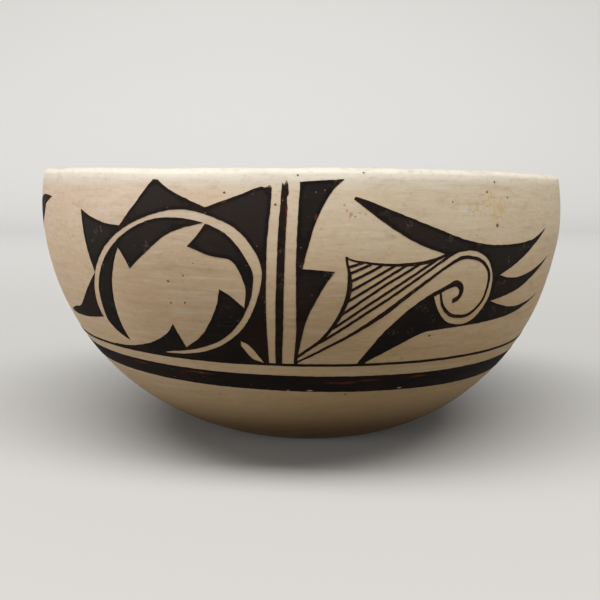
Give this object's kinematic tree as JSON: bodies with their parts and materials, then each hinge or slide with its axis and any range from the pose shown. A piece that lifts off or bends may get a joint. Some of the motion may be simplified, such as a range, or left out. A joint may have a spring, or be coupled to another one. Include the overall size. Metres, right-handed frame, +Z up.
{
  "type": "pottery bowl",
  "caption": "Hand-built pottery bowl with a round belly and a small flat foot, cream slip, and painted panels above a framing line and a wide band; it holds food or small things.",
  "frame": {"origin": "middle of the flat foot, on the surface that the bowl stands on", "axes": "+Z up, -Y towards the viewer of the picture (the front panel), +X to the viewer's right"},
  "size_m": [0.2303, 0.2302, 0.118],
  "materials": {
    "clay": "matt fired clay",
    "slip": "cream slip, stone-polished",
    "paint": "matt black-brown brush paint"
  },
  "bodies": {
    "root": {"moulded_base": "clay", "wall_coil_1": "clay", "wall_coil_2": "clay", "wall_coil_3": "clay", "wall_coil_4": "clay", "wall_coil_5": "clay", "rim_coil": "clay", "outside_slip": "slip", "inside_slip": "slip", "framing_line": "paint", "wide_band": "paint", "front_ring_feathers": "paint", "front_ring_blades": "paint", "front_divider_bar": "paint", "front_lightning": "paint", "front_hatched_wing": "paint", "front_scroll_line": "paint", "front_wing_feathers": "paint", "right_ring_feathers": "paint", "right_ring_blades": "paint", "right_divider_bar": "paint", "right_lightning": "paint", "right_hatched_wing": "paint", "right_scroll_line": "paint", "right_wing_feathers": "paint", "left_ring_feathers": "paint", "left_ring_blades": "paint", "left_divider_bar": "paint", "left_lightning": "paint", "left_hatched_wing": "paint", "left_scroll_line": "paint", "left_wing_feathers": "paint"}
  },
  "joints": []
}
